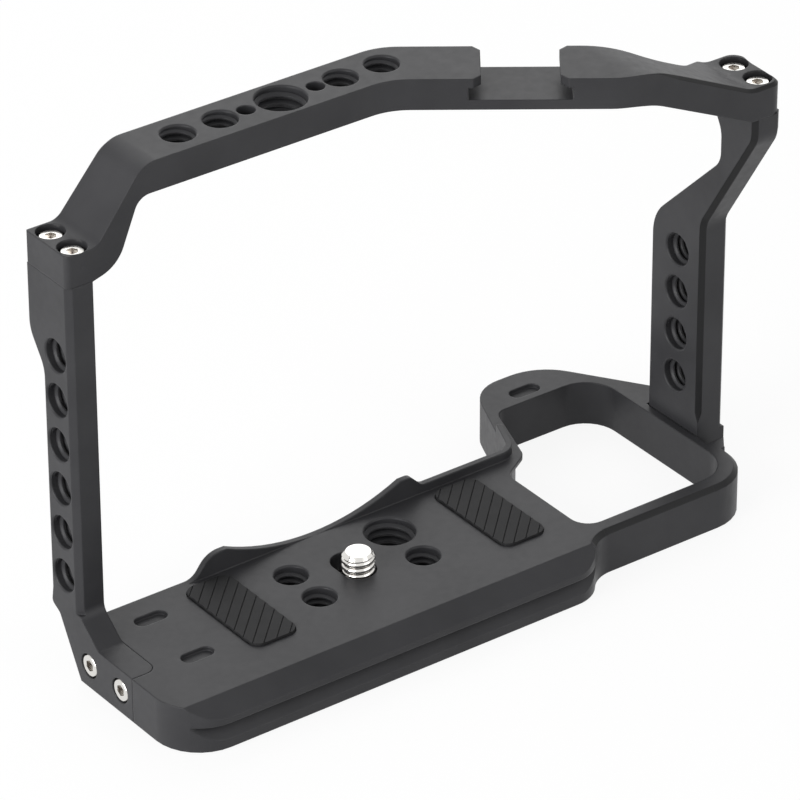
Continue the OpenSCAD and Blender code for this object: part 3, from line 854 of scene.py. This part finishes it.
@dataclass
class CutThread:
    """The ridge that a tap leaves in a bore: a trapezium carried along a helix.

    After t turns the ridge's middle line has risen by pitch * t. It grows out of the wall at one
    end and dies out at the other, each over a third of a turn, by the smooth step 3 a^2 - 2 a^3.

    Its height is least plus the share depth of the pitch, and its half widths are the shares
    foot and crest. Each end stays clear by mouth plus the share clear of the pitch, and the foot
    lies sink inside the wall, whose diameter is major. The bore starts at centre.
    """

    centre: tuple[float, float, float]
    length: float
    axis: Axis
    major: float = 6.35
    pitch: float = 1.27
    mouth: float = 0.35
    clear: float = 0.35
    sink: float = 0.04
    depth: float = 0.5
    least: float = 0.02
    foot: float = 0.46
    crest: float = 0.09
    ends_a_turn: int = 3
    steps_a_turn: int = 48
    least_steps: int = 8

    def surface(self) -> tuple[np.ndarray, list[list[int]]]:
        """Work out the ridge.

        Returns:
            Its points in metres and its faces.
        """
        low = self.mouth + self.pitch * self.clear
        turns = (self.length - 2 * low) / self.pitch
        t = np.linspace(0, turns, max(self.least_steps, int(turns * self.steps_a_turn)))
        rise = np.clip(np.minimum(t, turns - t) * self.ends_a_turn, 0, 1)
        rise = rise * rise * (3 - 2 * rise)
        wall = self.major / 2 + self.sink
        height = self.pitch * self.depth * rise + self.least
        radius = np.stack([wall + 0 * t, wall - height, wall - height, wall + 0 * t], 1)
        along = self.pitch * np.array([-self.foot, -self.crest, self.crest, self.foot])
        z = low + self.pitch * t[:, None] + along
        turn = 2 * np.pi * t[:, None] + 0 * along
        ridge = np.stack([radius * np.cos(turn), radius * np.sin(turn), z], -1)
        if self.axis is Axis.X:
            ridge = ridge[..., [2, 0, 1]]
        points = at(ridge.reshape(-1, 3) + np.array(self.centre))
        return points, outward(points, ring_faces(len(t), len(along)))


@dataclass
class ThreadRow:
    """The cut threads of one part, as one piece."""

    name: str
    finish: bpy.types.Material
    threads: list[CutThread]

    def build(self) -> bpy.types.Object:
        """Join the ridges in one mesh.

        Returns:
            The piece.
        """
        points, faces, start = [], [], 0
        for thread in self.threads:
            ridge, quads = thread.surface()
            points.append(ridge)
            faces.append(np.array(quads) + start)
            start += len(ridge)
        return ride(make_object(self.name, np.concatenate(points),
                                np.concatenate(faces).tolist(), self.finish), BODY, Slot.METAL)


# ---------------------------------------------------------------- pads


@dataclass
class GroovedPad:
    """A rubber pad: a round-cornered plate whose top has narrow slanted grooves.

    The plate's half width at place y along it is a quarter circle near its ends and straight
    between. The top lies at height - groove_d * g, where g = exp(-(n / groove_w)^2) and n is the
    distance to the nearest groove. It falls off at the flanks by a quarter circle of radius
    edge, and beyond the share flank of the half width it swells a little between the grooves.
    """

    node: str
    finish: bpy.types.Material
    corner: float = 2.3
    pitch: float = 2.0
    groove_w: float = 0.065
    groove_d: float = 0.2
    edge: float = 0.06
    swell: float = 0.012
    flank: float = 0.97
    rows: int = 421
    columns: int = 181

    def build(self) -> bpy.types.Object:
        """Make the pad in the place of its CAD node.

        Returns:
            The piece.
        """
        low, high = (np.array(c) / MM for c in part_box(self.node))
        half, mid = (high - low) / 2, (high + low) / 2
        y = np.linspace(-half[1], half[1], self.rows)
        past = np.clip(np.abs(y) - (half[1] - self.corner), 0, self.corner)
        w = half[0] - self.corner + np.sqrt(self.corner ** 2 - past ** 2)
        s = np.linspace(-1, 1, self.columns)
        x = w[:, None] * s
        across = (x - y[:, None]) / math.sqrt(2)
        near = np.abs((across / self.pitch + 0.5) % 1 - 0.5) * self.pitch
        groove = np.exp(-(near / self.groove_w) ** 2)
        rim = np.clip((w[:, None] - np.abs(x)) / self.edge, 0, 1)
        z = high[2] - self.groove_d * groove - self.edge * (1 - np.sqrt(1 - (1 - rim) ** 2))
        wave = self.swell * np.cos(2 * np.pi * across / self.pitch) * (np.abs(s) > self.flank)
        top = np.stack([x * (1 + wave), y[:, None] + 0 * x, z], -1)
        foot = top[:, [-1, 0]].copy()
        foot[..., 2] = low[2]
        ring = np.concatenate([top, foot], 1).reshape(-1, 3)
        points = (ring + np.array([mid[0], mid[1], 0])) * MM
        faces = outward(points, ring_faces(self.rows, self.columns + foot.shape[1]))
        return ride(make_object(self.node + "_grooved", points, faces, self.finish), BODY,
                    Slot.RUBBER, self.node)


# ---------------------------------------------------------------- camera screw


@dataclass
class CameraStud:
    """The threaded stud of the camera screw, a lathe form whose radius follows a helix.

    With h = frac(z / pitch - turn / (2 pi)) the radius is core / 2 + d * sqrt(1 - (2 h - 1)^2),
    where d = (major - core) / 2: a round crest over a sharp root, which grows over the first
    pitch above shank_top. Between bottom and shank, inside the head, the diameter is neck. The
    point is a cone of height cone and diameter tip, whose radius grows by slope going down.
    """

    finish: bpy.types.Material
    axis_xy: tuple[float, float] = (53.597, 22.3)
    core: float = 5.0
    major: float = 6.3
    pitch: float = 1.27
    bottom: float = 5.2
    neck: float = 4.7
    shank: float = 5.5
    shank_top: float = 8.0
    top: float = 13.1
    tip: float = 4.7
    cone: float = 1.0
    slope: float = 0.8
    rings: int = 220
    sides: int = 96

    def build(self) -> bpy.types.Object:
        """Make the stud.

        Returns:
            The piece.
        """
        turn = np.linspace(0, 2 * np.pi, self.sides, endpoint=False)[None]
        z = np.concatenate([[self.bottom], np.linspace(self.shank, self.top, self.rings)])[:, None]
        h = (z / self.pitch - turn / (2 * np.pi)) % 1
        depth = (self.major - self.core) / 2
        ridge = np.sqrt(np.clip(1 - (2 * h - 1) ** 2, 0, 1))
        begin = np.clip((z - self.shank_top) / self.pitch, 0, 1)
        radius = self.core / 2 + depth * ridge * begin
        radius = np.where(z < self.shank, self.neck / 2, radius)
        cone = self.tip / 2 + (self.top - z) * self.slope
        radius = np.minimum(radius, np.where(z > self.top - self.cone, cone, np.inf))
        rings = np.stack([radius * np.cos(turn), radius * np.sin(turn), z + 0 * radius], -1)
        points = at(rings.reshape(-1, 3) + np.array([*self.axis_xy, 0]))
        faces = outward(points, ring_faces(len(z), turn.size))
        return ride(make_object("camera_screw_stud", points, faces, self.finish), "camera_screw",
                    Slot.STEEL)


@dataclass
class CameraScrewHead:
    """The head of the camera screw: its CAD node cut off inside the neck, with broken edges.

    The cut is at cut_z. Vertices nearer than near, in metres, merge, and faces that turn less
    than same_plane_deg become one. Edges sharper than smooth_deg stay crisp, and those sharper
    than break_deg are broken.
    """

    finish: bpy.types.Material
    cut_z: float = 5.3
    near: float = 2e-6
    same_plane_deg: float = 0.4
    smooth_deg: float = 30.0
    break_deg: float = 40.0
    broken_mm: float = 0.15
    break_steps: int = 2

    def build(self) -> bpy.types.Object:
        """Make the head and let it stand for the node.

        Returns:
            The piece.
        """
        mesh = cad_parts["camera_screw"].data.copy()
        mesh.name = "camera_screw_head"
        work = bmesh.new()
        work.from_mesh(mesh)
        bmesh.ops.remove_doubles(work, verts=work.verts, dist=self.near)
        everything = work.verts[:] + work.edges[:] + work.faces[:]
        bmesh.ops.bisect_plane(work, geom=everything, plane_co=(0, 0, self.cut_z * MM),
                               plane_no=(0, 0, 1), clear_outer=True)
        bmesh.ops.holes_fill(work, edges=[e for e in work.edges if e.is_boundary], sides=0)
        bmesh.ops.dissolve_limit(work, angle_limit=math.radians(self.same_plane_deg),
                                 verts=work.verts, edges=work.edges)
        work.to_mesh(mesh)
        work.free()
        dress(mesh, self.finish)
        mesh.shade_smooth()
        mesh.set_sharp_from_angle(angle=math.radians(self.smooth_deg))
        piece = link(bpy.data.objects.new("camera_screw_head", mesh))
        bevel = piece.modifiers.new("broken_edges", "BEVEL")
        bevel.limit_method, bevel.angle_limit = "ANGLE", math.radians(self.break_deg)
        bevel.width, bevel.segments = self.broken_mm * MM, self.break_steps
        bevel.harden_normals = True
        LOG.info("%s made", piece.name)
        return ride(piece, "camera_screw", Slot.STEEL, "camera_screw")


# ---------------------------------------------------------------- studio


@dataclass(frozen=True)
class FittedCamera:
    """The photograph's camera, from a fit to straight edges and holes.

    Angles are in degrees. The cage's place middle lies distance in front of the camera, shift_x
    right of its axis and shift_y above it.
    """

    focal_px: float = 5741.55
    image_px: float = 800.0
    yaw: float = -36.2413
    pitch: float = 30.8060
    roll: float = -0.2117
    shift_x: float = -7.6935
    shift_y: float = 2.8786
    distance: float = 1025.609
    middle: tuple[float, float, float] = (-17.45, -10.3, 50.0)
    sensor_mm: float = 36.0
    near_m: float = 0.05
    far_m: float = 50.0

    def build(self) -> bpy.types.Object:
        """Make the scene's camera.

        Returns:
            The camera object.
        """
        yaw, pitch, roll = (math.radians(a) for a in (self.yaw, self.pitch, self.roll))
        back = np.array([math.sin(yaw) * math.cos(pitch), -math.cos(yaw) * math.cos(pitch),
                         math.sin(pitch)])
        level = np.array([math.cos(yaw), math.sin(yaw), 0])
        rise = np.cross(back, level)
        right = math.cos(roll) * level + math.sin(roll) * rise
        up = -math.sin(roll) * level + math.cos(roll) * rise
        eye = (np.array(self.middle) - self.shift_x * right - self.shift_y * up
               + self.distance * back) * MM
        data = bpy.data.cameras.new("photo_camera")
        data.sensor_width = self.sensor_mm
        data.lens = self.focal_px / self.image_px * data.sensor_width
        data.clip_start, data.clip_end = self.near_m, self.far_m
        camera = link(bpy.data.objects.new("photo_camera", data))
        camera.matrix_world = stand(right, up, back, eye)
        bpy.context.scene.camera = camera
        return camera


@dataclass(frozen=True)
class Softbox:
    """A square area light aimed at the height aim_z in the cage's middle; lengths are metres."""

    name: str
    place: tuple[float, float, float]
    size: float
    power: float
    aim_z: float = 0.04

    def build(self) -> bpy.types.Object:
        """Make the light.

        Returns:
            The light object.
        """
        data = bpy.data.lights.new(self.name, "AREA")
        data.size, data.energy = self.size, self.power
        light = link(bpy.data.objects.new(self.name, data))
        way = np.array(self.place) - np.array([0, 0, self.aim_z])
        back = way / np.linalg.norm(way)
        side = np.cross([0, 0, 1.0], back)
        side = side / np.linalg.norm(side)
        light.matrix_world = stand(side, np.cross(back, side), back, self.place)
        LOG.info("light %s", self.name)
        return light


@dataclass
class Studio:
    """Floor, world, lights and camera; its lengths are metres."""

    world_strength: float = 0.35
    floor_half: float = 2.0
    floor_gap: float = 0.0003
    floor: StudioFloor = StudioFloor("white_sweep", colour="#e6e6e6", roughness=0.7)
    softboxes: tuple[Softbox, ...] = (
        Softbox("softbox_back", (0.45, 0.95, 0.75), size=1.3, power=5.5),
        Softbox("softbox_left", (-1.2, -0.15, 0.42), size=0.9, power=16.5),
        Softbox("softbox_front", (0.4, -1.2, 0.5), size=0.8, power=4.4),
    )

    def light_world(self) -> None:
        """Light from all round, and white behind the object."""
        world = bpy.data.worlds.new("studio")
        bpy.context.scene.world = world
        world.use_nodes = True
        tree = world.node_tree
        tree.nodes.clear()
        dim = add_node(tree, "ShaderNodeBackground", Color=WHITE, Strength=self.world_strength)
        white = add_node(tree, "ShaderNodeBackground", Color=WHITE, Strength=1.0)
        mix = add_node(tree, "ShaderNodeMixShader", Fac=seen_rays(tree), Shader=dim.outputs[0],
                       Shader_001=white.outputs[0])
        add_node(tree, "ShaderNodeOutputWorld", Surface=mix.outputs[0])

    def lay_floor(self) -> None:
        """Lay the floor just under the cage."""
        h, z = self.floor_half, -self.floor_gap
        corners = np.array([[-h, -h, z], [h, -h, z], [h, h, z], [-h, h, z]])
        piece = make_object("studio_floor", corners, [[0, 1, 2, 3]], self.floor.build())

    def build(self) -> None:
        """Set up the whole studio."""
        bpy.context.scene.view_settings.view_transform = "Standard"
        self.light_world()
        self.lay_floor()
        for softbox in self.softboxes:
            softbox.build()
        FittedCamera().build()


# ---------------------------------------------------------------- the cage


@dataclass
class Cage:
    """The whole cage: machined parts, threads, pads and screws.

    The holes of an upright stand row_pitch apart, from the lowest at left_low or right_low, in
    y and z. plate_holes are the plate's narrow threads, plate_wide and deck_wide the wide ones
    of the plate and the bar, and deck_offsets lead from deck_wide to the bar's narrow ones. A
    wide thread has the diameter and pitch of wide.
    """

    metal: bpy.types.Material
    steel: bpy.types.Material
    rubber: bpy.types.Material
    wide: tuple[float, float] = (9.525, 1.5875)
    row_pitch: float = 9.1
    left_low: tuple[float, float] = (38.05, 20.1)
    left_holes: int = 6
    right_low: tuple[float, float] = (29.1, 19.2)
    right_holes: int = 4
    plate_holes: tuple[tuple[float, float], ...] = ((42.5, 18.9), (42.5, 27.9), (65.85, 18.9))
    plate_wide: tuple[float, float] = (65.85, 29.3)
    deck_wide: tuple[float, float] = (49.7, 39.1)
    deck_offsets: tuple[float, ...] = (-22, -13, 13, 22)

    def upright_row(self, x: float, low: tuple[float, float], count: int,
                    depth: float) -> list[CutThread]:
        """List the threads of an upright whose left face is at x, from its lowest hole up."""
        return [CutThread((x, low[0], low[1] + self.row_pitch * i), depth, Axis.X)
                for i in range(count)]

    def threads(self) -> list[ThreadRow]:
        """List the cut threads of each part.

        Returns:
            One row for each machined part.
        """
        left = self.upright_row(0, self.left_low, self.left_holes, LEFT_T)
        right = self.upright_row(CAGE_W - RIGHT_T, self.right_low, self.right_holes, RIGHT_T)
        base = [CutThread((*hole, 0), PLATE_T, Axis.Z) for hole in self.plate_holes]
        base.append(CutThread((*self.plate_wide, 0), PLATE_T, Axis.Z, *self.wide))
        (x, y), deck = self.deck_wide, CAGE_H - BAR_T
        top = [CutThread((x + s, y, deck), BAR_T, Axis.Z) for s in self.deck_offsets]
        top.append(CutThread((x, y, deck), BAR_T, Axis.Z, *self.wide))
        return [ThreadRow("left_upright_threads", self.metal, left),
                ThreadRow("right_upright_threads", self.metal, right),
                ThreadRow("base_plate_threads", self.metal, base),
                ThreadRow("top_bar_threads", self.metal, top)]

    def screws(self) -> None:
        """Give the CAD screws and the washer their steel."""
        for name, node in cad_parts.items():
            if "screw_" in name and name != "camera_screw":
                dress(node.data, self.steel)

    def build(self) -> None:
        """Build every piece."""
        outer = UprightChamfer(CAGE_W, 1, low=45.0, top=81.6, width=1.05)
        inner = UprightChamfer(CAGE_W - RIGHT_T, -1, low=12.0, top=83.4, width=0.9)
        MachinedPart("base_plate", self.metal, rim_from=94.0).build()
        MachinedPart("left_upright", self.metal).build()
        MachinedPart("right_upright", self.metal, (outer.edge(), inner.edge())).build()
        MachinedPart("top_bar", self.metal, (BarChamfer().edge(),)).build()
        for row in self.threads():
            row.build()
        for node in ("left_pad", "right_pad"):
            GroovedPad(node, self.rubber).build()
        CameraScrewHead(self.steel).build()
        CameraStud(self.steel).build()
        self.screws()


def main() -> None:
    """Build the scene."""
    logging.basicConfig(level=logging.INFO, format="%(name)s %(message)s")
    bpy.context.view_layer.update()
    Cage(
        BlackAnodised("bead_blasted_black_anodised_aluminium", colour="#2d2d2f",
                      roughness=0.42).build(),
        TurnedSteel("turned_stainless_steel", colour="#dedcd8", roughness=0.17).build(),
        MouldedRubber("moulded_black_rubber", colour="#19191a", roughness=0.66).build(),
    ).build()
    Studio().build()
    bpy.context.view_layer.update()


if __name__ == "__main__":
    main()
